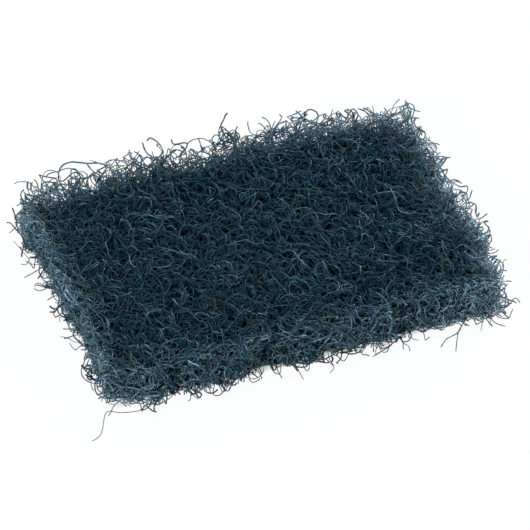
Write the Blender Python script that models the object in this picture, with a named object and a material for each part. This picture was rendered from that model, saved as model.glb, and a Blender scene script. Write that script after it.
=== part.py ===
"""Nylon scouring pad: a thick hand pad of coarse crimped nylon strands, bonded into one springy web.

The pad is one piece, so it is one solid: a soft-edged block with a slightly uneven outline, and over its
top and its four cut sides the open web, as ridges of strand that cross each other with pockets between
them. The ridges follow planes that cut through the block at all headings and lean over, as the strands
of the real web do, and are crimped into waves; where they meet, they are bonded. A few free strands wind
over the net, and loops and cut ends of strand stand off the sides. The underside is one plain flat face.
A strand here stands for a few of the real ones, which are thinner and far more numerous.

Units are metres, +Z is up, and the origin is under the middle of the pad, on the surface it lies on.
"""

import math
import random

import bmesh
import bpy
from mathutils import Matrix, Vector
from mathutils.bvhtree import BVHTree
from mathutils.geometry import intersect_ray_tri

# The pad
PAD_LENGTH = 0.150
PAD_WIDTH = 0.097
PAD_THICKNESS = 0.0185
EDGE_RADIUS = 0.0042

# How far the block strays from a true box, and over what distance
LUMP_HEIGHT = 0.0009
LUMP_LENGTH = 0.062

# The net of strands on the top and the sides
NET_FAMILIES = 6  # headings, each with its own row of strands
NET_SPACING = 0.0178  # between the strands of a row
NET_STRAY = 0.38  # how far a strand strays from its place in the row, in spacings
NET_TURN = 0.12  # and from its heading, in radians
NET_LEAN = 0.8  # how far the planes in which the strands lie lean over, in radians
GIRTH_STRANDS = 2  # strands that run round the four sides
GIRTH_LEAN = 0.04
CRIMP_HEIGHT = 0.0024  # how far a strand swings to each side of its plane
CRIMP_LENGTH = 0.031  # one full wave
KNOT_SIZE = 0.0011  # crossings closer than this are bonded into one
STRAND_RISE = 0.0003  # how far a crossing stands above or below the pad's face
RIDGE_WIDTH = 0.0017
POCKET_DEPTH = 0.0034
DEPTH_STRAY = 0.25  # how far a pocket's depth strays from that, as a share of it
POCKET_STEEPNESS = 1.3  # the most depth, for a pocket's radius
LEAST_POCKET = 0.0010  # a gap with a smaller radius is filled with bond
SHORT_SIDE = 0.12  # a pocket's side shorter than this, for its rim's, closes to a point
SHALLOWER = 0.3  # what a pocket that folds or meets another gives up of its depth at a time
LEAST_SHARE = 0.2  # and what it has left when it is filled with bond instead
TURNED_OVER = -0.5  # a floor that faces back into the pad this much has folded

# The free strands that lie over the net
STRAND_DIAMETER = 0.0016
STRAND_SIDES = 3
STRAND_LENGTH = 0.050
STRAND_STEP = 0.0056  # between two points of a strand
STRAND_COUNT = 7
STRAND_LIFT = 0.0003  # how far its middle line lies above the net
STRAND_WAVE = 0.0007  # how far it rises and dips on its way
WAVE_LENGTH = 0.024
SWING_LENGTH = 0.030  # one full wave of a free strand, seen from above
SWING_TURN = 0.8  # how far it swings to each side of its heading, in radians
ROOT_DEPTH = 0.0056  # how far a strand's ends are sunk into the pad, past the deepest pocket

# What stands off the cut sides
LOOP_PITCH = 0.018  # along the edge
LOOP_REACH = 0.0041
LOOP_SPAN = 0.0085
END_PITCH = 0.023
END_LENGTH = 0.0100  # with its root

# Finish
WEB_COLOUR = (0.030, 0.072, 0.105, 1.0)
WEB_ROUGHNESS = 0.62

SEED = 28
TRIM = 0.0003  # what the surface that the pad lies on takes off the underside

HALF_SIZE = Vector((PAD_LENGTH / 2, PAD_WIDTH / 2, (PAD_THICKNESS + TRIM) / 2))
MIDDLE = Vector((0, 0, HALF_SIZE.z - TRIM))


def clear_scene():
    for thing in list(bpy.data.objects):
        bpy.data.objects.remove(thing)


def web_material():
    material = bpy.data.materials.new("nylon_web")
    material.use_nodes = True
    surface = material.node_tree.nodes["Principled BSDF"]
    surface.inputs["Base Color"].default_value = WEB_COLOUR
    surface.inputs["Roughness"].default_value = WEB_ROUGHNESS
    surface.inputs["Metallic"].default_value = 0.0
    return material


def on_box(point):
    """The nearest point on the true soft-edged box round the origin, and the normal there."""
    core = Vector(max(-(h - EDGE_RADIUS), min(h - EDGE_RADIUS, p)) for p, h in zip(point, HALF_SIZE))
    out = point - core
    if out.length < 1e-9:  # inside the core: leave by the nearest face
        room = [h - abs(p) for p, h in zip(point, HALF_SIZE)]
        axis = room.index(min(room))
        out = Vector((0, 0, 0))
        out[axis] = math.copysign(1, point[axis])
        core[axis] = out[axis] * (HALF_SIZE[axis] - EDGE_RADIUS)
    normal = out.normalized()
    return core + normal * EDGE_RADIUS, normal


def uneven(point):
    """Moves a point of the true box to the uneven one: the sides bow in and out and the top rolls."""
    x, y, z = point
    turn = 2 * math.pi / LUMP_LENGTH
    side = x / HALF_SIZE.x, y / HALF_SIZE.y, z / HALF_SIZE.z
    return Vector((
        x + LUMP_HEIGHT * side[0] * math.sin(turn * y + 0.6),
        y + LUMP_HEIGHT * side[1] * (math.sin(turn * x + 2.1) + 0.6 * math.sin(1.7 * turn * x)),
        z + LUMP_HEIGHT * 0.7 * max(side[2], 0) * math.sin(turn * x) * math.sin(turn * y + 1.0),
    ))


def crimped(point):
    """Where a point of a straight strand goes when the strands are crimped into waves."""
    x, y, z = point
    turn = 2 * math.pi / CRIMP_LENGTH
    small = 2.3 * turn
    return Vector((
        x + CRIMP_HEIGHT * (math.sin(turn * (y + 0.6 * z) + 0.4) + 0.4 * math.sin(small * (y - x) + 2.0)),
        y + CRIMP_HEIGHT * (math.sin(turn * (0.9 * x - z / 2) + 1.9) + 0.4 * math.sin(small * (x + y / 3))),
        z + CRIMP_HEIGHT * 0.5 * math.sin(turn * (0.8 * x + 0.7 * y)),
    ))


def net_planes(rng):
    """The planes in which the net's strands lie: families of evenly spread strands that cross."""
    for family in range(NET_FAMILIES):
        heading = (family + rng.uniform(-0.2, 0.2)) * math.pi / NET_FAMILIES
        out = Vector((math.cos(heading), math.sin(heading), 0))
        width = abs(out.x) * HALF_SIZE.x + abs(out.y) * HALF_SIZE.y
        count = round(2 * width / NET_SPACING)
        for i in range(count):
            place = (i + 0.5 + rng.uniform(-NET_STRAY, NET_STRAY)) * 2 / count - 1
            lean = rng.uniform(-NET_LEAN, NET_LEAN)
            turn = Matrix.Rotation(rng.uniform(-NET_TURN, NET_TURN), 3, "Z")
            normal = turn @ Vector((out.x * math.cos(lean), out.y * math.cos(lean), math.sin(lean)))
            yield out * width * place, normal
    for i in range(GIRTH_STRANDS):
        place = (i + 1) * 2 / (GIRTH_STRANDS + 1) - 1
        lean = Vector((rng.uniform(-GIRTH_LEAN, GIRTH_LEAN), rng.uniform(-GIRTH_LEAN, GIRTH_LEAN), 1))
        yield Vector((0, 0, place * HALF_SIZE.z)), lean.normalized()


def inset_ring(rim, normals, width, depth):
    """A point under each of a gap's corners, the same width in from both its edges.

    Where an edge is too short for that, its two points become one. None if no room is left.
    """
    count = len(rim)
    ring = []
    for k, here in enumerate(rim):
        normal = normals[k]
        way_in = tangent(here - rim[k - 1], normal)
        way_out = tangent(rim[(k + 1) % count] - here, normal)
        inward = normal.cross(way_in) + normal.cross(way_out)
        spread = max(inward.length / 2, 0.4)
        ring.append(here + inward.normalized() * width / spread - normal * depth)
    group = list(range(count))
    for _ in range(count):
        short = None
        for k in range(count):
            after = (k + 1) % count
            side = rim[after] - rim[k]
            left = (ring[after] - ring[k]).dot(side) / side.length_squared
            if group[k] != group[after] and left < SHORT_SIDE:
                short = group[k], group[after]
                break
        if short is None:
            break
        group = [short[0] if g == short[1] else g for g in group]
        members = [k for k in range(count) if group[k] == short[0]]
        mean = sum((ring[k] for k in members), Vector()) / len(members)
        for k in members:
            ring[k] = mean
    return (ring, group) if len(set(group)) >= 3 else None


def sink_pocket(shape, gap, normal_at, owner, mark, share):
    """Gives a gap of the net steep walls and a floor, at a share of its own full depth."""
    rim = list(gap.verts)
    points = [vertex.co for vertex in rim]
    normals = [normal_at[vertex] for vertex in rim]
    reach = math.sqrt(gap.calc_area() / math.pi)
    if reach < LEAST_POCKET:
        return
    stray = random.Random(mark).uniform(-DEPTH_STRAY, DEPTH_STRAY)
    depth = min(POCKET_DEPTH * (1 + stray), POCKET_STEEPNESS * reach) * share
    found = inset_ring(points, normals, RIDGE_WIDTH / 2, depth)
    found = found or inset_ring(points, normals, RIDGE_WIDTH / 4, depth * 0.6)
    if not found:
        return
    corner = {g: shape.verts.new(point) for point, g in zip(*found)}
    ring = [corner[g] for g in found[1]]
    shape.faces.remove(gap)
    for k, vertex in enumerate(rim):
        after = (k + 1) % len(rim)
        wall = (vertex, rim[after], ring[after], ring[k])
        if ring[after] is ring[k]:
            wall = wall[:3]
        shape.faces.new(wall)[owner] = mark
    floor = [vertex for k, vertex in enumerate(ring) if vertex is not ring[k - 1]]
    shape.faces.new(floor)[owner] = mark


def cut_net(rng):
    """A box cut into gaps by the strands of the net, in its rounded and uneven shape."""
    shape = bmesh.new()
    bmesh.ops.create_cube(shape, size=2, matrix=Matrix.Diagonal((*HALF_SIZE, 1)))
    for place, normal in net_planes(rng):
        everything = shape.verts[:] + shape.edges[:] + shape.faces[:]
        bmesh.ops.bisect_plane(shape, geom=everything, plane_co=place, plane_no=normal)
    under = [face for face in shape.faces if face.normal.z < -0.99]
    bmesh.ops.dissolve_faces(shape, faces=under, use_verts=True)
    bmesh.ops.remove_doubles(shape, verts=shape.verts, dist=KNOT_SIZE)
    normal_at = {}
    for vertex in shape.verts:
        x, y, z = vertex.co
        if z < 1e-6 - HALF_SIZE.z:  # the rim of the underside
            place = Vector((x - x * EDGE_RADIUS / HALF_SIZE.x, y - y * EDGE_RADIUS / HALF_SIZE.y, z))
            normal = Vector((0, 0, -1))
        else:
            place, normal = on_box(crimped(vertex.co))
            place = place + normal * rng.uniform(-STRAND_RISE, STRAND_RISE)
        vertex.co = uneven(place)
        normal_at[vertex] = normal
    shape.normal_update()
    return shape, normal_at


def net():
    """The pad without its free strands. A pocket that folds or breaks into the next is made shallower."""
    share = {}
    while True:
        shape, normal_at = cut_net(random.Random(SEED))
        owner = shape.faces.layers.int.new("gap")
        for i, gap in enumerate(list(shape.faces)):
            if gap.normal.z > -0.9 and share.get(i, 1) > LEAST_SHARE:
                sink_pocket(shape, gap, normal_at, owner, i + 1, share.get(i, 1))
        bmesh.ops.triangulate(shape, faces=shape.faces, ngon_method="EAR_CLIP")
        clashes = pocket_clashes(shape, owner)
        if not clashes:
            break
        for i in clashes:
            share[i] = share.get(i, 1) - SHALLOWER
        shape.free()
    bmesh.ops.translate(shape, vec=MIDDLE, verts=shape.verts)
    mesh = bpy.data.meshes.new("scouring_pad")
    shape.to_mesh(mesh)
    shape.free()
    return mesh


def crosses(start, end, face):
    """Whether a line from start to end goes through a triangle."""
    way = end - start
    hit = intersect_ray_tri(*[vertex.co for vertex in face.verts], way, start)
    return hit is not None and 0 < (hit - start).dot(way) < way.length_squared


def folded_pockets(shape, owner):
    """The gaps in which a piece of floor is turned over, as where a narrow floor folds."""
    shape.normal_update()
    facing = {}
    for face in shape.faces:
        mark = face[owner]
        facing[mark] = facing.get(mark, Vector()) + face.normal * face.calc_area()
    return {
        face[owner] - 1
        for face in shape.faces
        if face[owner] and face.normal.dot(facing[face[owner]].normalized()) < TURNED_OVER
    }


def pocket_clashes(shape, owner):
    """The gaps that fold over, and those whose walls or floors cross each other or another gap's."""
    shape.faces.ensure_lookup_table()
    tree = BVHTree.FromBMesh(shape)
    found = folded_pockets(shape, owner)
    for a, b in tree.overlap(tree):
        first, second = shape.faces[a], shape.faces[b]
        shared = set(first.verts) & set(second.verts)
        if a >= b or len(shared) > 1:
            continue
        if shared:
            one, other = ([v.co for v in face.verts if v not in shared] for face in (first, second))
            if not crosses(*one, second) and not crosses(*other, first):
                continue
        found |= {face[owner] - 1 for face in (first, second) if face[owner]}
    return found


def tangent(direction, normal):
    return (direction - normal * direction.dot(normal)).normalized()


def lay_strand(start, heading, rng):
    """A free strand that winds over the pad: it rises and dips, and both its ends are rooted."""
    point, normal = on_box(start)
    heading = tangent(heading, normal)
    swing_phase = rng.uniform(0, 2 * math.pi)
    wave_phase = rng.uniform(0, 2 * math.pi)
    steps = round(STRAND_LENGTH * rng.uniform(0.6, 1.4) / STRAND_STEP)
    places, normals = [], []
    for i in range(steps + 1):
        places.append(uneven(point) + MIDDLE)
        normals.append(normal)
        swing = SWING_TURN * math.sin(swing_phase + 2 * math.pi * i * STRAND_STEP / SWING_LENGTH)
        step = Matrix.Rotation(swing, 3, normal) @ heading
        point, normal = on_box(point + step * STRAND_STEP)
        heading = tangent(heading, normal)
    points = []
    for i in range(1, steps):
        wave = STRAND_WAVE * math.sin(wave_phase + 2 * math.pi * i * STRAND_STEP / WAVE_LENGTH)
        points.append(places[i] + normals[i] * (STRAND_LIFT + wave))
    first = places[0] - (normals[0] + normals[1]).normalized() * ROOT_DEPTH
    last = places[-1] - (normals[-1] + normals[-2]).normalized() * ROOT_DEPTH
    return [first, *points, last]


def skin_spots(rng, tries=12):
    """Start points spread evenly over top and sides: of several random ones, the loneliest is kept."""
    a, b, c = HALF_SIZE
    kept = []
    while len(kept) < STRAND_COUNT:
        best, best_gap = None, -1
        for _ in range(tries):
            face = rng.uniform(0, a * b + 2 * a * c + 2 * b * c)
            u, v, s = rng.uniform(-1, 1), rng.uniform(-1, 1), rng.choice((-1, 1))
            if face < a * b:
                spot = Vector((u * a, v * b, c))
            elif face < a * b + 2 * a * c:
                spot = Vector((u * a, s * b, v * c))
            else:
                spot = Vector((s * a, u * b, v * c))
            gap = min(((spot - other).length for other in kept), default=1)
            if gap > best_gap:
                best, best_gap = spot, gap
        kept.append(best)
    return kept


def edge_spots(pitch, rng):
    """Spots along the four cut sides, with the way out and the way along at each."""
    a, b, c = HALF_SIZE
    for out, along, run, reach in (
        (Vector((0, -1, 0)), Vector((1, 0, 0)), a, b),
        (Vector((1, 0, 0)), Vector((0, 1, 0)), b, a),
        (Vector((0, 1, 0)), Vector((-1, 0, 0)), a, b),
        (Vector((-1, 0, 0)), Vector((0, -1, 0)), b, a),
    ):
        count = max(1, int(2 * (run - EDGE_RADIUS) / pitch))
        for i in range(count):
            place = (i + 0.5 + rng.uniform(-0.3, 0.3)) * 2 / count - 1
            height = rng.uniform(-0.7, 0.7) * (c - EDGE_RADIUS)
            yield out * reach + along * place * (run - EDGE_RADIUS) + Vector((0, 0, height)), out, along


def loops(rng):
    """Loops of strand that leave a cut side and turn back into it."""
    for spot, out, along in edge_spots(LOOP_PITCH, rng):
        lean = Matrix.Rotation(rng.uniform(-1.2, 1.2), 3, out) @ along
        span = LOOP_SPAN * rng.uniform(0.7, 1.3)
        reach = LOOP_REACH * rng.uniform(0.6, 1.2)
        points = []
        for i in range(6):
            turn = math.pi * i / 5
            point = spot - lean * span / 2 * math.cos(turn) + out * reach * math.sin(turn)
            if i in (0, 5):
                point -= out * ROOT_DEPTH
            points.append(uneven(point) + MIDDLE)
        yield points


def cut_ends(rng):
    """Cut ends of strand that curl out of a side."""
    steps = 4
    for spot, out, along in edge_spots(END_PITCH, rng):
        lean = Matrix.Rotation(rng.uniform(-0.8, 0.8), 3, out) @ along * rng.choice((-1, 1))
        curl = rng.uniform(0.3, 1.1)
        point = spot - out * ROOT_DEPTH
        points = [uneven(point) + MIDDLE]
        for i in range(steps):
            turn = curl * i / (steps - 1) * math.pi / 2
            point = point + (out * math.cos(turn) + lean * math.sin(turn)) * END_LENGTH / steps
            points.append(uneven(point) + MIDDLE)
        yield points


def strand_paths(rng):
    for spot in skin_spots(rng):
        yield lay_strand(spot, Vector([rng.gauss(0, 1) for _ in range(3)]), rng)
    yield from loops(rng)
    yield from cut_ends(rng)


def tube(name, points):
    """A strand along the points, with closed ends."""
    shape = bmesh.new()
    ways = [(b - a).normalized() for a, b in zip(points, points[1:])]
    side = ways[0].orthogonal().normalized()
    rings = []
    for i, point in enumerate(points):
        way = (ways[max(i - 1, 0)] + ways[min(i, len(ways) - 1)]).normalized()
        side = tangent(side, way)
        other = way.cross(side)
        ring = []
        for k in range(STRAND_SIDES):
            turn = 2 * math.pi * k / STRAND_SIDES
            place = point + (side * math.cos(turn) + other * math.sin(turn)) * STRAND_DIAMETER / 2
            ring.append(shape.verts.new(place))
        rings.append(ring)
    for ring, following in zip(rings, rings[1:]):
        for k in range(STRAND_SIDES):
            after = (k + 1) % STRAND_SIDES
            shape.faces.new((ring[k], ring[after], following[after], following[k]))
    shape.faces.new(rings[0][::-1])
    shape.faces.new(rings[-1])
    bmesh.ops.triangulate(shape, faces=shape.faces)
    mesh = bpy.data.meshes.new(name)
    shape.to_mesh(mesh)
    shape.free()
    return mesh


def helper(name, mesh, home):
    """An object that only takes part in a Boolean, so it isn't part of the model."""
    thing = bpy.data.objects.new(name, mesh)
    home.objects.link(thing)
    thing.hide_render = True
    thing.display_type = "WIRE"
    return thing


def table_top():
    """The space under the surface that the pad lies on."""
    shape = bmesh.new()
    bmesh.ops.create_cube(shape, size=1)
    size = Vector((2 * PAD_LENGTH, 2 * PAD_WIDTH, 2 * PAD_THICKNESS))
    bmesh.ops.transform(shape, matrix=Matrix.Diagonal((*size, 1)), verts=shape.verts)
    bmesh.ops.translate(shape, vec=(0, 0, -size.z / 2), verts=shape.verts)
    mesh = bpy.data.meshes.new("table_top")
    shape.to_mesh(mesh)
    shape.free()
    return mesh


def shell_of(face):
    """Every face that is joined to this one."""
    shell, edge_of_it = {face}, [face]
    while edge_of_it:
        for edge in edge_of_it.pop().edges:
            for other in edge.link_faces:
                if other not in shell:
                    shell.add(other)
                    edge_of_it.append(other)
    return shell


def volume_of(shell):
    """Less than nothing for a bubble, whose faces look inwards."""
    corners = [[vertex.co for vertex in face.verts] for face in shell]
    return sum(a.dot(b.cross(c)) for a, b, c in corners) / 6


def without_bubbles(mesh):
    """Fills with bond each pocket that the strands over it seal all round."""
    shape = bmesh.new()
    shape.from_mesh(mesh)
    bmesh.ops.triangulate(shape, faces=shape.faces, ngon_method="EAR_CLIP")
    rest, bubbles = set(shape.faces), set()
    while rest:
        shell = shell_of(next(iter(rest)))
        rest -= shell
        if volume_of(shell) < 0:
            bubbles |= {vertex for face in shell for vertex in face.verts}
    bmesh.ops.delete(shape, geom=list(bubbles), context="VERTS")
    shape.to_mesh(mesh)
    shape.free()
    return mesh


def build():
    clear_scene()
    pad = bpy.data.objects.new("scouring_pad", net())
    bpy.context.collection.objects.link(pad)

    strands = bpy.data.collections.new("strands")
    bpy.context.scene.collection.children.link(strands)
    for i, points in enumerate(strand_paths(random.Random(SEED))):
        name = f"strand_{i:03d}"
        helper(name, tube(name, points), strands)
    fuse = pad.modifiers.new("strands", "BOOLEAN")
    fuse.operation = "UNION"
    fuse.solver = "MANIFOLD"
    fuse.operand_type = "COLLECTION"
    fuse.collection = strands

    trim = pad.modifiers.new("table_top", "BOOLEAN")
    trim.operation = "DIFFERENCE"
    trim.solver = "MANIFOLD"
    trim.object = helper("table_top", table_top(), bpy.context.collection)

    whole = bpy.data.meshes.new_from_object(pad.evaluated_get(bpy.context.evaluated_depsgraph_get()))
    pad.modifiers.clear()
    pad.data = without_bubbles(whole)
    pad.data.materials.clear()
    pad.data.materials.append(web_material())


build()
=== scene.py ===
# %% [markdown]
# # A nylon scouring pad
#
# The pad is a thick hand pad: thousands of coarse nylon strands, crimped into waves, thrown
# into a deep tangle and bonded with resin wherever two of them touch. It is cut from a large
# sheet, so its top and bottom keep the sheet's own curls, and its four sides show cut ends
# and loops. Nothing else is on it.
#
# Every strand that can be seen is modelled. A random tangle could also be faked with a
# texture on a block, but the real pad is mostly air: light falls deep into it, the white
# table shows through its edges, and its outline is made of curls. Only geometry does that.

# %% The frame that everything is built on
import math

import bpy
import numpy as np
from mathutils import Matrix, Vector
from mathutils.bvhtree import BVHTree


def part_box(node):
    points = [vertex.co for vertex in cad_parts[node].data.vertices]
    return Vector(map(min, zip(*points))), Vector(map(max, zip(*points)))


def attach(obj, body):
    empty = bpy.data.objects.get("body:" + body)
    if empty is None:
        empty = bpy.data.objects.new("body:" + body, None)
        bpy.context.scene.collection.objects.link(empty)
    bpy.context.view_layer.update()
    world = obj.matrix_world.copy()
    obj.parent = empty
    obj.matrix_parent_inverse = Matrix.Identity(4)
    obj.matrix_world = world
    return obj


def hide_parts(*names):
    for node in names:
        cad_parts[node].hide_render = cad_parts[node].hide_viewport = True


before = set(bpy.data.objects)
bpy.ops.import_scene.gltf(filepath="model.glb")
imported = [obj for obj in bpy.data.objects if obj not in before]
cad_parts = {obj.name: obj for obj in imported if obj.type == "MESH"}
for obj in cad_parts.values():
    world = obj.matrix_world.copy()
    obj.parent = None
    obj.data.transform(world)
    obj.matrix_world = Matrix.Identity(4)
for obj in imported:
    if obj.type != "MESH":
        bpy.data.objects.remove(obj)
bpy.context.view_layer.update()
low, high = (np.array(corner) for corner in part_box("scouring_pad"))
print("the solid pad measures", np.round((high - low) * 1000, 1), "mm")

# %% [markdown]
# ## The camera
#
# The photograph was taken from far away with a long lens, so the pad's far side is hardly
# smaller than its near side. The angles, the distance and the lens were fitted to the six
# corners of the pad's outline. The camera leans over a little, as a hand-held one does.
#
# Blender's camera looks along its own -Z. So the way back from the pad to the camera is
# worked out first, and the camera's three axes follow from it.

# %% Camera
MM = 0.001
IMAGE_WIDTH = 530  # pixels
FOCAL_LENGTH = 9400  # pixels
SENSOR_WIDTH = 36  # millimetres, as in a full-frame camera
CAMERA_DISTANCE = 3430 * MM
VIEW_AZIMUTH = math.radians(-23.0)
VIEW_HEIGHT = math.radians(43.9)
VIEW_ROLL = math.radians(2.6)
VIEW_OFFSET = 1.75 * MM, 1.9 * MM  # right and up, from the pad's foot point


def view_axes(azimuth, height, roll):
    """The camera's right, up and back vectors."""
    back = Vector((
        math.sin(azimuth) * math.cos(height),
        -math.cos(azimuth) * math.cos(height),
        math.sin(height),
    ))
    right = (-back).cross(Vector((0, 0, 1))).normalized()
    lean = Matrix.Rotation(roll, 3, back)
    return lean @ right, lean @ back.cross(right), back


right, up, back = view_axes(VIEW_AZIMUTH, VIEW_HEIGHT, VIEW_ROLL)
eye = back * CAMERA_DISTANCE + right * VIEW_OFFSET[0] + up * VIEW_OFFSET[1]
camera = bpy.data.objects.new("camera", bpy.data.cameras.new("camera"))
bpy.context.collection.objects.link(camera)
camera.matrix_world = Matrix.Translation(eye) @ Matrix((right, up, back)).transposed().to_4x4()
camera.data.sensor_width = SENSOR_WIDTH
camera.data.lens = SENSOR_WIDTH * FOCAL_LENGTH / IMAGE_WIDTH
camera.data.clip_end = 3 * CAMERA_DISTANCE
bpy.context.scene.camera = camera
print("lens", round(camera.data.lens), "mm at", round(CAMERA_DISTANCE, 2), "m")

# %% [markdown]
# ## How a strand runs
#
# A crimped strand never runs straight: it bends one way for a few millimetres, then another.
# A spline through hand-placed points would be hopeless for thousands of strands. Instead each
# strand is a walk. It takes even steps, and what changes smoothly on the way is its *bend*,
# not its heading: that gives the soft arcs and curls of a real crimped strand.
#
# The strands are mixed: some are crimped tightly and curl, and some run almost straight.
#
# Near the top and the bottom of the sheet a strand is turned back inwards, as the needles
# and rollers that made the sheet pressed the tangle flat there. At the sides nothing turns
# it back, because the sheet went on when the pad was not yet cut out of it.
#
# All strands walk at once, as rows of one array, so thousands cost no more time than ten.

# %% The walk
END_FRINGE = 3.5 * MM  # how far the solid's loops stand off the web's own short sides
SIDE_FRINGE = 2.0 * MM  # and off its long sides
TOP_RISE = 0.6 * MM  # how far the highest curls stand above the solid
body = (high - low) / 2 - np.array((END_FRINGE, SIDE_FRINGE, 0))
top = 2 * body[2] + TOP_RISE
print("the web is", np.round(2 * body[:2] / MM, 1), "mm across and", round(top / MM, 1), "mm high")

STEPS = 34
MARGIN = 15 * MM  # the sheet goes on this far round the pad before it is cut
BEND_LENGTH = 4.5 * MM  # over which a bend dies away
BEND_SPREAD = 0.6, 1.3  # the bend of the straightest and the curliest strand, over the usual
LOW_SHARE = 0.38  # of the strands start in the lower part, where the sheet is pressed denser
LOW_HEIGHT = 8 * MM
TURN_BACK = 0.6 / MM  # the bend that holds a strand in, at the face
TURN_ZONE = 2.0 * MM  # how far below the face that bend begins
TURN_MOST = 2  # how much stronger it gets, far past the face
HEADED_BACK = 0.2  # a strand that heads back inwards by more than this isn't turned
SOFT_TOP = 3.6 * MM  # few strands reach the very top, and all of them run below this depth


def unit(vectors):
    return vectors / np.linalg.norm(vectors, axis=-1, keepdims=True)


def wander(count, step, usual_bend, rng):
    """The paths of this many strands through the sheet, as an array of strand, point, axis."""
    reach = body[:2] + MARGIN
    height = rng.uniform(0, top, count)
    height = np.where(rng.uniform(size=count) < LOW_SHARE, height * LOW_HEIGHT / top, height)
    place = np.column_stack((rng.uniform(-1, 1, (count, 2)) * reach, height))
    way = unit(rng.normal(size=(count, 3)))
    usual_bend = usual_bend * rng.uniform(*BEND_SPREAD, (count, 1))
    bend = usual_bend * rng.normal(size=(count, 3))
    roof = top - SOFT_TOP * np.sqrt(rng.uniform(size=count))
    kept = math.exp(-step / BEND_LENGTH)
    path = [place]
    for _ in range(STEPS):
        bend = kept * bend + math.sqrt(1 - kept**2) * usual_bend * rng.normal(size=(count, 3))
        above = np.clip((place[:, 2] - roof) / TURN_ZONE + 1, 0, TURN_MOST)
        above *= way[:, 2] > -HEADED_BACK
        below = np.clip(1 - place[:, 2] / TURN_ZONE, 0, TURN_MOST)
        below *= way[:, 2] < HEADED_BACK
        turn = np.cross(bend, way)
        turn[:, 2] += TURN_BACK * (below - above)
        way = way + step * turn
        way = unit(way)
        place = place + step * way
        path.append(place)
    return np.stack(path, axis=1)


# %% [markdown]
# ## Thick and thin places
#
# A real web is never even. It has dense clumps, and open pores a few millimetres across that
# show as dark spots. Leaving strands out at random would not give them, because each strand
# is long and crosses many such places. Moving the finished paths does: smooth waves push the
# strands together here and apart there.

# %% Clumps and pores
WAVES = 20
WAVE_LENGTHS = 4.5 * MM, 11 * MM
WAVE_FLATNESS = 1, 1, 0.5  # the waves run more along the sheet than through it
SQUEEZE = 0.11  # how much closer one wave brings the strands at its tightest


def bunched(points, rng):
    """Pushes points together and apart along waves that run at random headings."""
    moved = points.copy()
    for _ in range(WAVES):
        heading = unit(rng.normal(size=3) * WAVE_FLATNESS)
        turn = 2 * math.pi / rng.uniform(*WAVE_LENGTHS)
        phase = rng.uniform(0, 2 * math.pi)
        moved += heading * (SQUEEZE / turn * np.sin(points @ heading * turn + phase))[..., None]
    return moved


# %% [markdown]
# ## The ridges and pockets of the solid
#
# The solid pad has the larger form of the web's face: ridges where many strands cross, and
# pockets a few millimetres deep between them. The strands settle into the same pockets. Rays
# sent down on to the solid give the depth of its face at each point of a fine grid, and each
# strand sinks there by its own share of that depth, so some still span a pocket.

# %% Settling into the pockets
GRID = 1 * MM
DEEPEST = 4.5 * MM
EDGE_FADE = 5 * MM  # the pockets fade out here, where the solid's face turns down to its sides
SETTLE_LEAST = 0.25  # the share of a pocket's depth by which the stiffest strand sinks
SETTLE_USUAL = 0.6
LAST_CELL = 1.001  # keeps what is read from the grid just inside its last cell


def face_depths():
    """How deep the solid's top face lies under the pad's top, on a grid from one corner."""
    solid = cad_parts["scouring_pad"]
    tree = BVHTree.FromPolygons(
        [solid.matrix_world @ vertex.co for vertex in solid.data.vertices],
        [face.vertices for face in solid.data.polygons],
    )
    xs = np.arange(-body[0], body[0] + GRID, GRID)
    ys = np.arange(-body[1], body[1] + GRID, GRID)
    down = Vector((0, 0, -1))
    depths = np.zeros((len(xs), len(ys)))
    for i, x in enumerate(xs):
        for j, y in enumerate(ys):
            hit = tree.ray_cast(Vector((x, y, 1)), down)[0]
            room = min(body[0] - abs(x), body[1] - abs(y))
            fade = min(max(room / EDGE_FADE, 0), 1)
            depths[i, j] = fade * min(max(top - hit.z, 0), DEEPEST) if hit else 0
    for axis in (0, 1):
        around = np.roll(depths, 1, axis) + np.roll(depths, -1, axis)
        depths = depths / 2 + around / 4
    return depths


pockets = face_depths()
print("the face lies", round(pockets.mean() / MM, 2), "mm deep on average")


def pocket_depth(points):
    """The depth of the solid's face under each point, read between the grid's own points."""
    x, y = ((points[..., k] + body[k]) / GRID for k in (0, 1))
    x = np.clip(x, 0, pockets.shape[0] - LAST_CELL)
    y = np.clip(y, 0, pockets.shape[1] - LAST_CELL)
    i, j = x.astype(int), y.astype(int)
    u, v = x - i, y - j
    near = pockets[i, j] * (1 - v) + pockets[i, j + 1] * v
    far = pockets[i + 1, j] * (1 - v) + pockets[i + 1, j + 1] * v
    return near * (1 - u) + far * u


def settled(paths, rng):
    """The paths, sunk into the pockets: most at the top, and not at all at the table."""
    share = rng.uniform(SETTLE_LEAST, 1, (len(paths), 1))
    moved = paths.copy()
    moved[..., 2] -= share * pocket_depth(paths) * (paths[..., 2] / top).clip(0, 1) ** 2
    return moved


# %% [markdown]
# ## Cutting the pad out of the sheet
#
# The pad's sides are cuts. A strand that crosses a cut ends there, but each end then springs
# out or back by its own amount, which is what makes the sides fuzzy. So every strand has a
# cut of its own: a rounded rectangle that lies a little further out or in. Most lie close to
# the pad's outline, and a few let a long end or a loop stand out.
#
# The distance to a rounded rectangle needs no geometry: it is worked out from how far a
# point is past the rectangle's core, along each axis. The cut wavers, and each side bulges
# and is torn in at places that were measured along its edge in the photograph.
#
# The far side looks torn rather than cut: it ends in an open fringe of loops that lets the
# white table through. So there the ends stray much more, most of all inwards.

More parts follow.
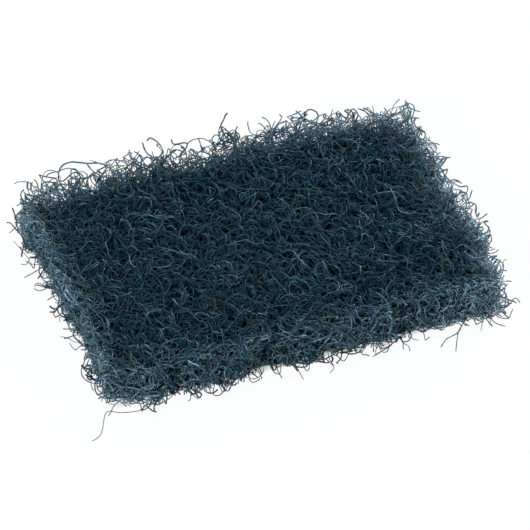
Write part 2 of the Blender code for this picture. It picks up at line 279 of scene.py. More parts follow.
# %% The cut
CORNER_RADIUS = 6 * MM
LEAST_END = -2.4 * MM
USUAL_END = 1.7 * MM  # the mean of how far ends stand out past the least
FAR_RAGGED = 7.0, 1.9  # how much more the ends stray in and out at the far side
FAR_ZONE = 12 * MM  # over which that builds up
LONGEST_END = 4.3 * MM
SHORTEST_RUN = 4  # steps: a shorter clipping falls out of the pad
HELD_IN = 1 * MM  # a piece that doesn't reach this far into the pad isn't bonded to it
EDGE_WAVES = ((41 * MM, 0.3 * MM, 0.4), (17 * MM, 0.3 * MM, 2.0))  # length, height, phase
BULGES = {  # along each side, in mm: the place, how far out or in, and the half width
    "near": ((-72, -2.0, 3), (-61, 3.6, 5), (-53, -2.6, 4), (-45, 1.5, 3), (-30, 2.7, 8),
             (-18, -2.8, 3), (-5, 1.2, 5), (25, 1.8, 8), (41, -2.0, 5), (68, 1.6, 7)),
    "far": ((0, 4.2, 90), (-55, 3.0, 5), (-49, -1.5, 3), (-22, 3.0, 7), (-6, -0.8, 4),
            (12, 2.2, 8), (41, 1.8, 5), (62, -1.0, 8)),
    "left": ((38, 1.8, 6), (-1, 1.2, 4), (-30, 1.2, 5), (-44, 2.0, 4)),
    "right": ((0, 0.3, 90), (41, -1.6, 4), (20, 1.5, 5), (-2, 1.0, 4), (-23, 2.2, 9),
              (-38, -1.4, 4)),
}


def bulge(points):
    """How far the outline stands out at each point, seen from above."""
    x, y = points[..., 0], points[..., 1]
    room = body[0] - np.abs(x), body[1] - np.abs(y)
    side_of = {
        "near": (x, (y < 0) & (room[1] < room[0])),
        "far": (x, (y > 0) & (room[1] < room[0])),
        "left": (y, (x < 0) & (room[0] <= room[1])),
        "right": (y, (x > 0) & (room[0] <= room[1])),
    }
    out = np.zeros(x.shape)
    for side, (along, here) in side_of.items():
        for place, height, width in BULGES[side]:
            shape = np.exp(-(((along / MM - place) / width) ** 2))
            out += here * height * MM * shape
    return out


def past_cut(points):
    """How far each point lies outside the pad's outline, seen from above. Negative is inside."""
    past = np.abs(points[..., :2]) - (body[:2] - CORNER_RADIUS)
    outside = np.linalg.norm(np.maximum(past, 0), axis=-1)
    inside = np.minimum(past.max(axis=-1), 0)
    wavy = sum(
        height * np.sin(2 * math.pi * (points[..., 0] - points[..., 1]) / length + phase)
        for length, height, phase in EDGE_WAVES
    )
    past = outside + inside - CORNER_RADIUS - wavy - bulge(points)
    near_far_side = np.clip((points[..., 1] - body[1]) / FAR_ZONE + 1, 0, 1)
    return past / (1 + (np.where(past < 0, *FAR_RAGGED) - 1) * near_far_side)


def under_face(points):
    """How far each point lies under the pad's top face, pockets included."""
    return top - SETTLE_USUAL * pocket_depth(points) - points[..., 2]


def depth(points):
    """How far each point lies under the pad's top and sides."""
    return np.minimum(-past_cut(points), under_face(points))


def held_runs(kept, past):
    """The steps between kept points, in runs that are long and deep enough, as true or false."""
    steps = kept[:, 1:] & kept[:, :-1]
    starts = steps & ~np.pad(steps, ((0, 0), (1, 0)))[:, :-1]
    run = np.cumsum(starts).reshape(steps.shape)
    length = np.bincount(run[steps], minlength=run.max() + 1)
    deepest = np.zeros(run.max() + 1)
    np.minimum.at(deepest, run[steps], past[:, :-1][steps])
    held = (length >= SHORTEST_RUN) & (deepest < -HELD_IN)
    return steps & held[run]


def inside_cut(paths, rng):
    """Which points of each strand are left when the pad is cut out, as true or false."""
    ends = np.minimum(LEAST_END + rng.exponential(USUAL_END, len(paths)), LONGEST_END)
    return past_cut(paths) < ends[:, None]


# %% [markdown]
# ## From paths to tubes
#
# Blender can make a tube from a curve with a bevel, but it would give each strand more faces
# than are needed, and no control over them. Here each path gets a ring of three points at
# every step, joined by flat sides. Three sides are enough for a strand that is less than
# half a millimetre thick, because smooth shading rounds it.
#
# The rings must not twist. So the first ring's side is carried along: at each step it is
# only made square to the new direction, and never chosen afresh.

# %% Rings along the paths
SIDES = 3
STEEP = 0.7  # a strand that starts steeper than this gets its first side from another axis
RADIUS_SPREAD = 0.14  # from strand to strand
RADIUS_RIPPLE = 0.10  # along a strand, where resin has gathered
SPREAD_MOST = 2  # neither goes further than this many times its usual amount
BEAD_SHARE = 0.035  # the share of rings with a bead of resin
BEAD_SWELL = 0.55


def rings(paths, radius):
    """Rings of points round each path, as an array of strand, point, side, axis."""
    way = unit(np.gradient(paths, axis=1))
    steep = np.abs(way[:, 0, 2:]) >= STEEP
    side = np.cross(way[:, 0], np.where(steep, (1, 0, 0), (0, 0, 1)))
    sides = []
    for i in range(paths.shape[1]):
        side = unit(side - way[:, i] * np.sum(side * way[:, i], axis=1, keepdims=True))
        sides.append(side)
    side = np.stack(sides, axis=1)
    other = np.cross(way, side)
    turn = 2 * math.pi * np.arange(SIDES) / SIDES
    spoke = side[:, :, None] * np.cos(turn)[:, None] + other[:, :, None] * np.sin(turn)[:, None]
    return paths[:, :, None] + spoke * radius[:, :, None, None]


def uneven_radius(usual_radius, count, points, rng):
    """The radius of each strand at each of its points."""
    stray = rng.normal(size=(count, 1)).clip(-SPREAD_MOST, SPREAD_MOST)
    usual = usual_radius * (1 + RADIUS_SPREAD * stray)
    stray = rng.normal(size=(count, points)).clip(-SPREAD_MOST, SPREAD_MOST)
    ripple = 1 + RADIUS_RIPPLE * stray
    bead = 1 + BEAD_SWELL * (rng.uniform(size=(count, points)) < BEAD_SHARE)
    return usual * ripple * bead


# %% [markdown]
# ## One mesh for many strands
#
# Each mesh holds whole strands, spread through the whole pad. Only the kept steps get
# faces, and each run of them is closed with a small triangle at both ends.
#
# Three things are stored with the mesh. The material reads two of them: a tone for each
# strand, and the share of painted light and coat at each of its points. The third is a map
# called OFBake, in which each strand has a small box of its own: an exporter that paints the
# material into an image needs such a map.

# %% Strand meshes
MAP_EDGE = 0.1  # the share of a strand's box that is left clear all round


def box_in_map(strand, count, along, around):
    """Where a point of a strand lies in the map: along it one way, round it the other."""
    boxes = math.ceil(math.sqrt(count))
    column, row = strand % boxes, strand // boxes
    return (
        (column + MAP_EDGE + (1 - 2 * MAP_EDGE) * along) / boxes,
        (row + MAP_EDGE + (1 - 2 * MAP_EDGE) * around) / boxes,
    )


def strand_mesh(name, ring_points, steps, tone, coat):
    """A mesh of tubes: for each true value in steps, the tube between two rings."""
    count, points = ring_points.shape[:2]
    strand, step = np.nonzero(steps)
    side = np.arange(SIDES)
    after = (side + 1) % SIDES
    ring = (strand * points + step)[:, None] * SIDES
    next_ring = ring + SIDES
    quads = np.stack((ring + side, ring + after, next_ring + after, next_ring + side), axis=-1)
    quads = quads.reshape(-1, 4)
    before = np.pad(steps, ((0, 0), (1, 0)))[:, :-1]
    behind = np.pad(steps, ((0, 0), (0, 1)))[:, 1:]
    first = np.stack(np.nonzero(steps & ~before))
    last = np.stack(np.nonzero(steps & ~behind))
    caps = np.concatenate((
        (first[0] * points + first[1])[:, None] * SIDES + side[::-1],
        (last[0] * points + last[1] + 1)[:, None] * SIDES + side,
    ))

    corner = np.concatenate((quads.ravel(), caps.ravel()))
    used, corner_vertex = np.unique(corner, return_inverse=True)
    sizes = np.concatenate((np.full(len(quads), 4), np.full(len(caps), SIDES)))
    mesh = bpy.data.meshes.new(name)
    mesh.vertices.add(len(used))
    mesh.vertices.foreach_set("co", ring_points.reshape(-1, 3)[used].ravel())
    mesh.loops.add(len(corner))
    mesh.loops.foreach_set("vertex_index", corner_vertex)
    mesh.polygons.add(len(sizes))
    mesh.polygons.foreach_set("loop_start", np.concatenate(([0], np.cumsum(sizes)[:-1])))
    mesh.update(calc_edges=True)
    mesh.shade_smooth()

    own = used // (points * SIDES)
    mesh.attributes.new("tone", "FLOAT", "POINT").data.foreach_set("value", tone[own])
    own = used // SIDES
    mesh.attributes.new("coat", "FLOAT", "POINT").data.foreach_set("value", coat.ravel()[own])

    quad_along = np.stack((step, step, step + 1, step + 1), axis=-1)
    quad_along = quad_along[:, None].repeat(SIDES, axis=1)
    quad_around = np.stack((side, side + 1, side + 1, side), axis=-1)
    quad_around = quad_around[None].repeat(len(step), axis=0)
    cap_ring = caps // SIDES % points
    along = np.concatenate((quad_along.ravel(), cap_ring.ravel())) / (points - 1)
    around = np.concatenate((quad_around.ravel(), (caps % SIDES).ravel())) / SIDES
    u, v = box_in_map(corner // (points * SIDES), count, along, around)
    mesh.uv_layers.new(name="OFBake").data.foreach_set("uv", np.column_stack((u, v)).ravel())
    return mesh


# %% [markdown]
# ## Writing materials as sums
#
# A material's pattern is worked out by nodes. Linking dozens of them by hand hides the
# idea, so a small class wraps a node's output: adding or multiplying two of these adds the
# Math node that does it. A world has nodes too, so the same class writes the surroundings.

# %% Shader maths
class Wire:
    """An output socket that can be used in sums."""

    def __init__(self, shader, socket):
        self.shader = shader
        self.socket = socket

    def __add__(self, other):
        return self.shader.math("ADD", self, other)

    def __radd__(self, other):
        return self.shader.math("ADD", other, self)

    def __sub__(self, other):
        return self.shader.math("SUBTRACT", self, other)

    def __rsub__(self, other):
        return self.shader.math("SUBTRACT", other, self)

    def __mul__(self, other):
        return self.shader.math("MULTIPLY", self, other)

    def __rmul__(self, other):
        return self.shader.math("MULTIPLY", other, self)


class Shader:
    """A material, or the world behind everything, that is written in code."""

    def __init__(self, name, kind="materials"):
        self.owner = getattr(bpy.data, kind).new(name)
        self.owner.use_nodes = True
        self.tree = self.owner.node_tree
        self.tree.nodes.clear()

    def node(self, kind, settings=None, **inputs):
        """Adds a node: its settings come first, then the value or wire of each socket.

        A socket goes by its name, or by n and its number.
        """
        made = self.tree.nodes.new(kind)
        for key, value in (settings or {}).items():
            setattr(made, key, value)
        for key, value in inputs.items():
            socket = made.inputs[int(key[1:]) if key[1:].isdigit() else key.replace("_", " ")]
            if isinstance(value, Wire):
                self.tree.links.new(value.socket, socket)
            else:
                socket.default_value = value
        return made

    def wire(self, kind, output, settings=None, **inputs):
        return Wire(self, self.node(kind, settings, **inputs).outputs[output])

    def math(self, operation, *values):
        inputs = {f"n{i}": value for i, value in enumerate(values)}
        return self.wire("ShaderNodeMath", 0, {"operation": operation}, **inputs)

    def mix(self, share, first, second):
        """A colour between two: the first where share is 0, the second where it is 1."""
        settings = {"data_type": "RGBA"}
        return self.wire("ShaderNodeMix", 2, settings, n0=share, n6=first, n7=second)

    def spread(self, value, least, most):
        """A value as a share of the way from the least to the most, between 0 and 1."""
        inputs = {"Value": value, "From_Min": least, "From_Max": most}
        return self.wire("ShaderNodeMapRange", 0, **inputs)

    def noise(self, size, detail=2):
        """Smooth random values between 0 and 1, with spots of about the given size."""
        place = self.wire("ShaderNodeTexCoord", "Object")
        return self.wire("ShaderNodeTexNoise", "Fac", Vector=place, Scale=1 / size, Detail=detail)

    def finish(self, surface, kind="Material"):
        self.node(f"ShaderNodeOutput{kind}", Surface=Wire(self, surface.outputs[0]))
        return self.owner


# %% [markdown]
# ## The nylon
#
# The strands are dyed a dark blue: teal or navy, with some violet and some smoky grey, in
# soft patches a few millimetres across. A thin coat of resin with fine grit in it is sprayed
# on from outside. The outermost strands get painted light: a pale slate colour, in spots, that
# stands in for the light and highlights on them. Those further in get painted shade: a colour
# darker than the dye, for the shade deep in the tangle. Bare nylon is matt. Where the resin is
# thick it is a little smoother and shines softly.
#
# A random colour for each strand would be simpler, but it would make every strand stand
# out from its neighbours. Here noise in space sets the colour, and a strand's own tone only
# shifts it.

# %% The strands' finish
TEAL = (0.009, 0.063, 0.077, 1)
NAVY = (0.011, 0.043, 0.088, 1)
VIOLET = (0.029, 0.044, 0.085, 1)
SMOKE = (0.026, 0.052, 0.053, 1)
# painted shade: the colour of strands deep in the pad, darker than the dye, for the shade there
PAINTED_SHADE = (0.001, 0.020, 0.034, 1)
# painted light: the pale colour of the outermost strands, for the light and highlights on them
PAINTED_LIGHT = (0.255, 0.385, 0.462, 1)
MOST_PAINTED_LIGHT = 0.95  # how much of the dye the painted light hides at most
PATCH_SIZE = 9 * MM
SMOKE_PATCH_SIZE = 6 * MM
SPOT_SIZE = 2.2 * MM  # of the spots of painted light
GRIT_SIZE = 0.25 * MM
TO_NAVY = 0.6, 0.9  # from where to where on its noise one dye turns into the next
TO_VIOLET = 0.85, 1.05
TO_SMOKE = 0.35, 0.5
TO_DYE = 0, 0.4  # and the same on the share of painted light, from the painted shade inside to the dye
TO_SPOT = 0.33, 0.65
TONE_SHIFTS = 0.5, 0.4, 0.3  # how much a strand's own tone shifts each of the first three
GRIT_STRENGTH = 0.12
GRIT_HEIGHT = 0.1 * MM
BARE_ROUGHNESS = 0.7
COATED_ROUGHNESS = 0.3
BARE_SHINE = 0.12
SHINE = 0.4  # what the thickest coat adds to that
SHINE_ROUGHNESS = 0.42
TO_SHINE = 0.3, 0.9  # between which coats that builds up


def nylon():
    shader = Shader("bonded_nylon")
    tone = shader.wire("ShaderNodeAttribute", "Fac", {"attribute_name": "tone"})
    coat = shader.wire("ShaderNodeAttribute", "Fac", {"attribute_name": "coat"})
    patch = shader.noise(PATCH_SIZE, detail=1)
    smoke_patch = shader.noise(SMOKE_PATCH_SIZE, detail=1)
    spots = shader.noise(SPOT_SIZE)
    grit = shader.noise(GRIT_SIZE, detail=3)
    dye_and_shade = shader.mix(shader.spread(TONE_SHIFTS[0] * tone + patch, *TO_NAVY), TEAL, NAVY)
    dye_and_shade = shader.mix(shader.spread(TONE_SHIFTS[1] * tone + patch, *TO_VIOLET), dye_and_shade, VIOLET)
    dye_and_shade = shader.mix(shader.spread(smoke_patch - TONE_SHIFTS[2] * tone, *TO_SMOKE), dye_and_shade, SMOKE)
    # painted shade: where the share of painted light is low, deep in the pad, the dye turns dark
    dye_and_shade = shader.mix(shader.spread(coat, *TO_DYE), PAINTED_SHADE, dye_and_shade)
    # painted light: the outer strands turn pale slate in spots, most where the share is highest
    colour = shader.mix(coat * coat * shader.spread(spots, *TO_SPOT) * MOST_PAINTED_LIGHT, dye_and_shade, PAINTED_LIGHT)
    bump = shader.node(
        "ShaderNodeBump", Strength=GRIT_STRENGTH, Distance=GRIT_HEIGHT, Height=grit
    )
    bare = shader.spread(coat, TO_DYE[1], TO_DYE[0])
    surface = shader.node(
        "ShaderNodeBsdfPrincipled",
        Base_Color=colour,
        Roughness=bare * (BARE_ROUGHNESS - COATED_ROUGHNESS) + COATED_ROUGHNESS,
        Specular_IOR_Level=BARE_SHINE,
        Coat_Weight=shader.spread(coat, *TO_SHINE) * SHINE,
        Coat_Roughness=SHINE_ROUGHNESS,
        Normal=Wire(shader, bump.outputs[0]),
    )
    return shader.finish(surface)


finish = nylon()
print("the nylon's finish takes", len(finish.node_tree.nodes), "nodes")

# %% [markdown]
# ## Painted light and shade, and the coat
#
# Each point of each strand gets one share, which paints light and shade into its colour and
# also sets how glossy its resin coat is. The share is highest at the top and thins out into
# the pad, so the outermost strands get pale painted light and those deeper in get dark
# painted shade. In the photograph the pad's sides are paler still, because light gets in
# between their loose strands. Light that passes from strand to strand takes very long to
# render, so the sides get more painted light in its place: the right one the most, and the
# torn loops of the far side a little less. The loose ends beyond the cut get almost none, so
# they take the painted shade colour and look dark against the table.
#
# A mask in the material could do the same, but it would have to know the pad's outline. The
# paths already do, so each point of each strand gets its own share of painted light and coat.

# %% Painted light and shade, and the coat
TOP_LIGHT_AND_COAT_DEPTH = 2.1 * MM  # over which the painted light and the coat thin out, into the pad from the top
SIDE_LIGHT_AND_COAT_DEPTH = 8 * MM
FRINGE_LIGHT_AND_COAT_DEPTH = 2 * MM  # and over which it thins out towards the loose ends
RIGHT_LIGHT_AND_COAT = 1.1  # how much more painted light and coat the right side gets, and half as much at the left
FAR_LIGHT_AND_COAT = -0.1  # the far side gets less
FAR_BAND = 6  # the higher, the narrower the band along the far side that gets less
SIDE_LIGHTS_AND_COATS = 0.37, 0.52  # the least that a strand gets at the sides, and what chance may add
TOP_LIGHTS_AND_COATS = 0.22, 0.62  # and the same for the top
MOST_TOP_LIGHT_AND_COAT = 0.85  # the most that the top gets


def light_and_coat_on(paths, rng):
    """How much painted light and coat each point gets: less further in, from the sides and the
    top.
    """
    past = past_cut(paths)
    # painted light at the sides, for light that gets in between loose strands; almost none on
    # loose ends
    from_side = np.exp(past.clip(None, 0) / SIDE_LIGHT_AND_COAT_DEPTH - past.clip(0) / FRINGE_LIGHT_AND_COAT_DEPTH)
    x, y = paths[..., 0] / body[0], paths[..., 1] / body[1]
    from_side *= 1 + RIGHT_LIGHT_AND_COAT * np.maximum(x, -x / 2).clip(0, 1) ** 2
    from_side *= 1 + FAR_LIGHT_AND_COAT * y.clip(0, 1) ** FAR_BAND
    # painted light at the top, thinning into painted shade deeper in
    from_top = np.exp(-under_face(paths).clip(0) / TOP_LIGHT_AND_COAT_DEPTH).clip(0, MOST_TOP_LIGHT_AND_COAT)
    share = rng.uniform(size=(len(paths), 1))
    from_side *= SIDE_LIGHTS_AND_COATS[0] + SIDE_LIGHTS_AND_COATS[1] * share
    from_top *= TOP_LIGHTS_AND_COATS[0] + TOP_LIGHTS_AND_COATS[1] * share
    return np.maximum(from_side, from_top).clip(0, 1)


# %% [markdown]
# ## The web
#
# Walk, bunch, settle, cut, and make the tubes. A look into the pad goes no deeper than a few
# millimetres before strands close it off. So the strands near the top and the sides get
# short steps, and those further in, which only darken the gaps, get longer ones. The two
# kinds run into each other over a few millimetres, so no border can be seen.
#
# Resin has gathered on the cut ends, so the strands are thicker there. They are dealt out to
# meshes of about equal size, so that none gets too heavy.

# %% The web of strands
SEED = 11
OUTER_DEPTH = 5.0 * MM
DEPTH_MIX = 1.5 * MM  # how far either kind strays over the border
FRINGE_SWELL = 0.5  # how much thicker a strand is at the cut, as a share of its radius
FRINGE_SWELL_DEPTH = 1.5 * MM  # over which it swells
LOW_ZONE = 7 * MM  # below this the inner strands come further out
LOW_COVER = 1.6 * MM  # but stay this far inside the cut


def strands(name, count, meshes, step, bend, usual_radius, outer, rng):
    """The outer or the inner strands of the web, as several meshes."""
    paths = settled(bunched(wander(count, step, bend, rng), rng), rng)
    radius = uneven_radius(usual_radius, count, STEPS + 1, rng)
    past = past_cut(paths)
    radius *= 1 + FRINGE_SWELL * (1 + past / FRINGE_SWELL_DEPTH).clip(0, 1)
    paths[..., 2] = np.maximum(paths[..., 2], radius)
    border = OUTER_DEPTH + DEPTH_MIX * rng.normal(size=(count, 1))
    if outer:
        here = depth(paths) < border
    else:
        here = (depth(paths) > border) | ((paths[..., 2] < LOW_ZONE) & (past < -LOW_COVER))
    steps = held_runs(inside_cut(paths, rng) & here, past)
    ring_points = rings(paths, radius)
    ring_points[..., 2] = np.maximum(ring_points[..., 2], 0)
    tone = rng.uniform(0, 1, count)
    coat = light_and_coat_on(paths, rng)
    left = np.flatnonzero(steps.any(axis=1))
    made = []
    for i in range(meshes):
        batch = left[i::meshes]
        parts = (values[batch] for values in (ring_points, steps, tone, coat))
        made.append(web_piece(strand_mesh(f"{name}_{i + 1}", *parts)))
    length = steps.sum() * step
    print(name, len(left), "strands,", round(length), "m,", triangles_in(made), "triangles")
    return made


def triangles_in(pieces):
    """How many triangles the pieces come to: a face of n corners splits into n - 2."""
    return sum(len(piece.data.loops) - 2 * len(piece.data.polygons) for piece in pieces)


def web_piece(mesh):
    """An object of the web, from its mesh."""
    mesh.materials.append(finish)
    piece = bpy.data.objects.new(mesh.name, mesh)
    bpy.context.collection.objects.link(piece)
    return piece


rng = np.random.default_rng(SEED)
web = strands(
    "outer_strands", count=16500, meshes=4, step=1.35 * MM, bend=0.25 / MM,
    usual_radius=0.185 * MM, outer=True, rng=rng,
)
web += strands(
    "inner_strands", count=4500, meshes=3, step=2.7 * MM, bend=0.15 / MM,
    usual_radius=0.40 * MM, outer=False, rng=rng,
)

# %% [markdown]
# ## The stray strands
#
# A few strands have sprung right out of the pad, and the photograph shows each of them
# against the white table. Random ones would do from a step away, but these are what the eye
# compares first. So each is placed by the pixels that it passes: a ray from the camera
# through a pixel is followed to the height at which the strand runs.
#
# Those at the near edge lie on the table or close above it, and those at the two ends leave
# the side at heights of their own. Those at the far edge leave the web a few millimetres
# under its top, and rise from there. Each starts a few millimetres inside the web, so none
# hovers from any side.

# %% Where the strays run
STRAYS = (  # the heights of its foot and its crest, in mm, and the pixels that it passes
    # along the near edge, then out over the table
    (0.3, 0.3, ((170, 398), (157, 405), (150, 403.5), (146, 405.5), (141, 410), (130, 412),
                (118, 412.5), (109, 411), (105, 415), (103, 427), (101, 434), (97, 438.5),
                (92, 441))),
    (0.6, 0.6, ((114, 406), (111, 412), (108.5, 416))),
    # the near edge, from left to right
    (3.0, 3.0, ((182, 383), (190, 391), (190.5, 399), (188, 401))),
    (2.5, 2.5, ((184, 384), (191, 391.5), (195, 396.5), (198.5, 399.5))),
    (1.2, 1.2, ((195, 385), (196.5, 390), (197.5, 396.5))),
    (1.0, 1.0, ((208, 384), (209.5, 389), (211, 394))),
    (1.0, 1.0, ((219, 384), (220.5, 388), (223, 393))),
    (0.8, 0.8, ((222, 385), (224.5, 389.5), (228, 391), (230.5, 387), (230, 383))),
    (1.0, 1.0, ((248, 374), (250, 378), (254, 379), (259.5, 376.5), (263, 372), (264, 367))),
    (0.5, 0.5, ((249, 375), (250, 380), (253, 382.5), (258, 380.5), (259.5, 378.5))),
    (1.5, 1.5, ((270, 362), (272.5, 370), (277, 374), (280, 373), (281, 365))),
    (0.4, 0.4, ((278, 371), (280, 374.5), (282, 378))),
    (0.8, 0.8, ((294, 363), (298, 369.5), (303.5, 379.5))),
    (0.8, 0.8, ((302, 361), (304, 367), (307, 371), (309, 368), (309.5, 360))),
    (2.0, 2.0, ((327, 349), (329.5, 359), (334, 367), (330, 373))),
    (2.5, 2.5, ((321, 355), (327, 360), (333, 365.5))),
    (1.5, 1.5, ((334, 351), (343, 361), (349, 353.5))),
    (1.5, 1.5, ((341, 349), (341.5, 358))),
    (0.5, 0.5, ((392, 344), (381, 351.5), (373, 356.5))),
    (0.6, 0.6, ((378, 344), (376, 350), (376, 354.5))),
    (0.6, 0.6, ((399, 338), (404, 343.5), (408.5, 346), (410, 351))),
    (0.6, 0.6, ((402, 340), (403.5, 349.5))),
    (1.5, 1.5, ((409, 332), (412.5, 338.5), (418.5, 340.5))),
    (2.5, 2.5, ((411, 329), (420, 330), (424, 334), (425.5, 340), (429.5, 337))),
    (2.0, 2.0, ((466, 317), (462, 325.5), (458.5, 332), (457, 341), (456, 351))),
    (1.0, 1.0, ((461, 325), (458.5, 332), (452, 336), (446, 339.5), (441, 347))),
    (0.8, 0.8, ((483, 318), (482, 325), (481, 331))),
    # the right end
    (0.8, 0.8, ((489, 317), (495.5, 323), (505, 326.5))),
    (1.0, 1.0, ((494, 314), (499, 317.5), (508, 318.5), (511, 313), (512.5, 309))),
    (3.0, 3.0, ((495, 309), (506, 307), (510.5, 303), (513.5, 299), (516.5, 298.5), (520, 302.5))),
    (5.5, 5.5, ((497, 286), (501, 290), (505.5, 293.5), (508, 299.5))),
    (9.5, 14.0, ((498, 277), (502, 268), (504, 260.5), (506.5, 259.5))),
    (10.5, 10.5, ((483, 254), (493.5, 253), (498.5, 249.5))),
    (9.0, 9.0, ((477, 247), (489, 250.5), (495, 248.5))),
    # the left end
    (2.0, 2.0, ((20, 222), (15, 228), (9.5, 233))),
    (0.5, 0.5, ((32, 264), (28, 258), (21, 249.5), (13.5, 241))),
    (0.5, 0.5, ((31, 257), (28.5, 261.5), (25.5, 264.5), (21, 264))),
    (0.5, 0.5, ((43, 267.5), (33, 273), (24, 277.5))),
    (0.5, 0.5, ((47, 286.5), (43, 285), (38.5, 283), (35.5, 284.5), (35.3, 287))),
    (1.0, 1.0, ((51, 284), (46, 288.5), (39, 290.7), (34.5, 288.7))),
    (2.0, 2.0, ((65, 308), (59, 307), (54.5, 309.5), (53.5, 313.5), (56, 318))),
    (2.0, 2.0, ((70, 322), (64, 317.5), (60, 317.5), (60, 322))),
    (1.8, 1.8, ((80, 342), (74, 341.5), (67.5, 338), (60.5, 336.5))),
    (2.2, 2.2, ((84, 343), (76, 349.5), (72.5, 347.5), (69.5, 343))),
    (0.6, 0.6, ((88, 352), (84.5, 357), (84.5, 362), (81.5, 370), (83, 377), (90, 382.5),
                (101, 384))),
    (0.5, 0.5, ((95, 374), (91.5, 379), (91.5, 386), (94, 391))),
    (1.0, 1.0, ((103, 386), (102.5, 393), (107, 402), (115, 405))),
    # the far edge, from left to right
    (15.0, 19.5, ((37, 190), (32.5, 185), (27, 182), (18, 182), (14.5, 184))),
    (15.5, 20.0, ((42, 188), (42.3, 179), (45.5, 172), (51, 170.3), (57, 172.5), (61, 179))),
    (16.0, 20.5, ((116, 170), (111, 164.5), (106, 162), (102, 164.7), (95, 161.5), (89.5, 160.3))),
    (16.0, 20.5, ((111, 168), (114, 162), (118, 158.5))),
    (16.0, 20.5, ((137, 164), (131, 157.5), (128, 152))),
    (16.0, 20.5, ((133, 162), (136, 156), (139.5, 151))),
    (16.0, 20.5, ((170, 154), (171.5, 149), (175, 145.5), (180, 145), (185, 149), (186.5, 156))),
    (16.0, 20.5, ((216, 150), (219, 138), (221, 132.5), (217.5, 132.5))),
    (16.0, 20.5, ((219, 134), (223, 130), (229.5, 132.5), (234, 138))),
)
print("the longest stray passes", max(len(pixels) for _, _, pixels in STRAYS), "pixels")

# %% Stray strands
STRAY_RADIUS = 0.19 * MM
STRAY_ROOT = 4 * MM  # how far inside the web it starts
# the strays get a middling share of painted light and coat
STRAY_LIGHT_AND_COAT = 0.5
RISE_PIXELS = 12  # over which a stray rises from its foot to its crest
FINE_STEPS = 12  # between two pixels, for a smooth line


def on_level(pixel, height):
    """The point at this height above the table that the camera sees at this pixel."""
    across, down = pixel[0] - IMAGE_WIDTH / 2, pixel[1] - IMAGE_WIDTH / 2
    ray = right * across - up * down - back * FOCAL_LENGTH
    return np.array(eye + ray * ((height - eye.z) / ray.z))


def smooth_path(points, count):
    """Points evenly spread on a smooth line (a Catmull-Rom spline) through the given ones."""
    ends = 2 * points[0] - points[1], 2 * points[-1] - points[-2]
    points = np.array((ends[0], *points, ends[1]))
    t = np.linspace(0, 1, FINE_STEPS)[:, None]
    line = []
    for a, b, c, d in zip(points, points[1:], points[2:], points[3:]):
        cubic = 3 * (b - c) + d - a
        square = 2 * a - 5 * b + 4 * c - d
        line.append(b + t / 2 * (c - a + t * (square + t * cubic)))
    line = np.concatenate(line)
    way = np.concatenate(([0], np.cumsum(np.linalg.norm(np.diff(line, axis=0), axis=1))))
    even = np.linspace(0, way[-1], count)
    return np.column_stack([np.interp(even, way, axis) for axis in line.T])


def stray_path(foot, crest, pixels):
    """From inside the web, rising to its own height over the first pixels, and on from there."""
    far_off = [math.dist(pixel, pixels[0]) for pixel in pixels]
    heights = [foot + (crest - foot) * min(gone / RISE_PIXELS, 1) for gone in far_off]
    points = [on_level(pixel, height * MM) for pixel, height in zip(pixels, heights)]
    inward = unit(points[0][:2]) * STRAY_ROOT
    root = points[0] - (*inward, 0)
    return smooth_path([root, *points], STEPS + 1)


stray_paths = np.stack([stray_path(*stray) for stray in STRAYS])
radius = uneven_radius(STRAY_RADIUS, len(STRAYS), STEPS + 1, rng)
stray_paths[..., 2] = np.maximum(stray_paths[..., 2], radius)
stray_rings = rings(stray_paths, radius)
stray_rings[..., 2] = np.maximum(stray_rings[..., 2], 0)
whole = np.ones((len(STRAYS), STEPS), bool)
tone = rng.uniform(0, 1, len(STRAYS))
coat = np.full(stray_paths.shape[:2], STRAY_LIGHT_AND_COAT)
web.append(web_piece(strand_mesh("stray_strands", stray_rings, whole, tone, coat)))
print(len(STRAYS), "stray strands")

# %% [markdown]
# ## The table
#
# The pad lies on a plain white table. The table is lit as a table would be, so it keeps a
# soft shadow, but most of what is seen of it is plain white, as in the photograph. That
# white can be had from a very bright lamp too, but then the pad would be too bright. Here
# only a ray that shows the surroundings, straight or in gloss, meets the plain white. It
# fades out under the pad, where a real table is in deep shade: otherwise the white would
# glow through the web.

# %% Table
TABLE_WIDTH = 6  # metres
TABLE_WHITE = (0.86, 0.87, 0.88, 1)
WHITE = (1, 1, 1, 1)
PLAIN_WHITE = 0.93  # how much of the table's look is plain white
SHADE_ZONE = 1.5 * MM, 6 * MM  # it fades out between these, measured in under the pad
SEEN_KINDS = "Camera", "Glossy", "Transmission"


def seen_rays(shader):
    """1 for a ray that shows the surroundings, straight or in gloss or glass, and 0 for light."""
    rays = shader.node("ShaderNodeLightPath")
    straight, gloss, glass = (Wire(shader, rays.outputs[f"Is {kind} Ray"]) for kind in SEEN_KINDS)
    return shader.math("MAXIMUM", shader.math("MAXIMUM", straight, gloss), glass)


def table_finish():
    shader = Shader("white_table")
    seen = seen_rays(shader)
    place = shader.wire("ShaderNodeTexCoord", "Object")
    axes = shader.node("ShaderNodeSeparateXYZ", Vector=place)
    room = [body[k] - shader.math("ABSOLUTE", Wire(shader, axes.outputs[k])) for k in (0, 1)]
    clear = 1 - shader.spread(shader.math("MINIMUM", *room), *SHADE_ZONE)
    lit = shader.node("ShaderNodeBsdfDiffuse", Color=TABLE_WHITE)
    plain = shader.node("ShaderNodeEmission", Color=WHITE, Strength=1)
    surface = shader.node(
        "ShaderNodeMixShader",
        n0=seen * clear * PLAIN_WHITE,
        n1=Wire(shader, lit.outputs[0]),
        n2=Wire(shader, plain.outputs[0]),
    )
    return shader.finish(surface)


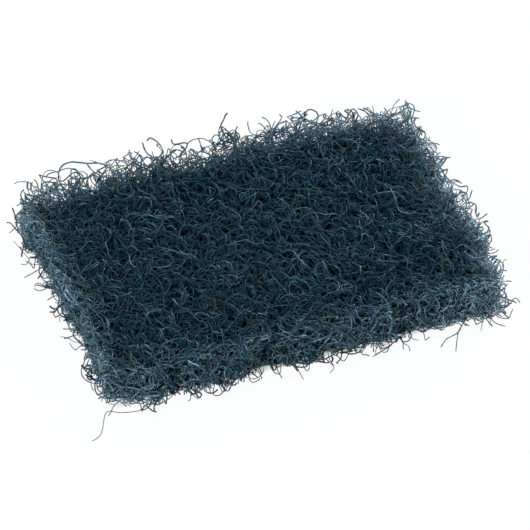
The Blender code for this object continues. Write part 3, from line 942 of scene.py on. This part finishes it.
table_mesh = bpy.data.meshes.new("table")
half = TABLE_WIDTH / 2
corners = [(-half, -half, 0), (half, -half, 0), (half, half, 0), (-half, half, 0)]
table_mesh.from_pydata(corners, [], [(0, 1, 2, 3)])
table_mesh.materials.append(table_finish())
table = bpy.data.objects.new("table", table_mesh)
bpy.context.collection.objects.link(table)
print("the table is", TABLE_WIDTH, "m wide")

# %% [markdown]
# ## The light
#
# The photograph was taken in a bright, even studio light with hardly any shadow. A bright
# sky all round would give that too, but it would fill the pores with light, and they are
# almost black. So three soft lamps light the pad: one from the near left, a weaker one from
# above, and one from behind on the right, which gives the far edge its pale rim.
#
# The sky shows plain white to the same rays as the table, and is dim for all others.

# %% Light
LIGHT_COLOUR = (0.86, 0.95, 1.0)  # as from a window under an open sky
LAMP_SIZE = 0.35  # metres
SKY_LIGHT = 0.1  # how bright the sky is for everything but the rays that show it


def lamp(name, place, size, power):
    """A square soft light that faces the pad."""
    light = bpy.data.lights.new(name, "AREA")
    light.size = size
    light.energy = power
    light.color = LIGHT_COLOUR
    thing = bpy.data.objects.new(name, light)
    facing = Vector(place).to_track_quat("Z", "Y").to_matrix().to_4x4()
    thing.matrix_world = Matrix.Translation(place) @ facing
    bpy.context.collection.objects.link(thing)


lamp("key_light", place=(-1.05, -0.85, 0.75), size=LAMP_SIZE, power=26)
lamp("top_light", place=(0.1, 0.3, 1.3), size=LAMP_SIZE, power=11)
lamp("back_light", place=(1.05, 1.0, 0.5), size=LAMP_SIZE, power=20)

studio = Shader("studio", "worlds")
strength = seen_rays(studio) * (1 - SKY_LIGHT) + SKY_LIGHT
sky = studio.node("ShaderNodeBackground", Color=WHITE, Strength=strength)
bpy.context.scene.world = studio.finish(sky, "World")
bpy.context.scene.view_settings.view_transform = "Standard"
print(len(bpy.data.lights), "lamps and a sky")

# %% [markdown]
# ## The pieces on the part's body
#
# Each mesh rides on the part's one body and stands in for the solid pad, which is hidden. Each
# has the nylon's finish.

for piece in web:
    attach(piece, "root")
    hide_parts("scouring_pad")
print(len(web), "pieces stand in for the solid pad, with", triangles_in(web), "triangles")
